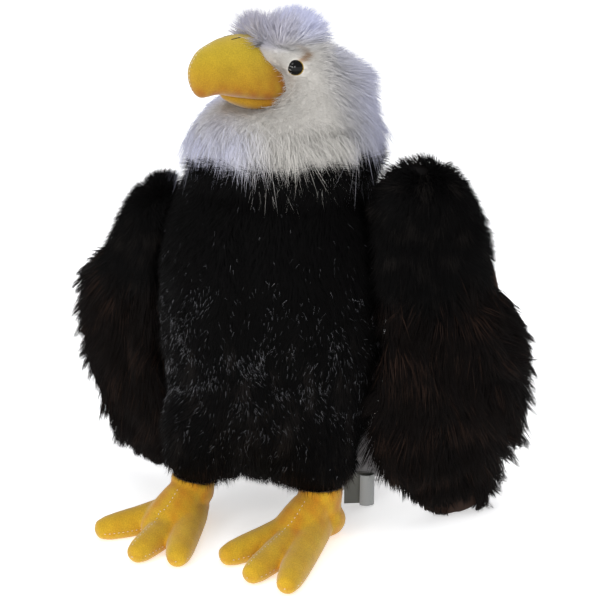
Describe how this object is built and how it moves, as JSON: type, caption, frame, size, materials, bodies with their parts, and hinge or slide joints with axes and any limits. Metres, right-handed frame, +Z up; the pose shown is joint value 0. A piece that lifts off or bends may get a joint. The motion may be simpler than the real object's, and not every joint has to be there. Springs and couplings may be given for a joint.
{
  "type": "stuffed bald eagle toy",
  "caption": "Standing plush bald eagle with a turned white head, hooked yellow bill, shaggy dark wings, flat white tail and soft splayed feet; a soft toy and display piece.",
  "frame": {"origin": "on the floor, under the middle of the toy's box", "axes": "+Z up; the toy's breast faces -Y and its left side is +X"},
  "size_m": [0.3358, 0.2432, 0.3567],
  "materials": {
    "white_pile": "long white acrylic pile, soft and slightly warm",
    "black_pile": "short black acrylic pile with silvery tips on the breast",
    "brown_pile": "long shaggy dark brown acrylic pile",
    "brown_velour": "short reddish-brown velour",
    "yellow_velour": "short yellow velour with airbrushed orange shading",
    "thread": "dark embroidery thread",
    "eye_plastic": "clear domed plastic over a black pupil and a golden ring",
    "label_satin": "plain white woven satin, bare"
  },
  "bodies": {
    "root": {"head": "white_pile", "collar": "white_pile", "tail": "white_pile", "trunk": "black_pile", "wing_left_shoulder": "black_pile", "wing_right_shoulder": "black_pile", "wing_left_fringe": "brown_pile", "wing_right_fringe": "brown_pile", "wing_left_lining": "brown_velour", "wing_right_lining": "brown_velour", "beak_upper": "yellow_velour", "beak_lower": "yellow_velour", "leg_left": "yellow_velour", "leg_right": "yellow_velour", "foot_left": "yellow_velour", "foot_right": "yellow_velour", "nostril_left": "thread", "nostril_right": "thread", "eye_left": "eye_plastic", "eye_right": "eye_plastic", "care_label": "label_satin"}
  },
  "joints": []
}
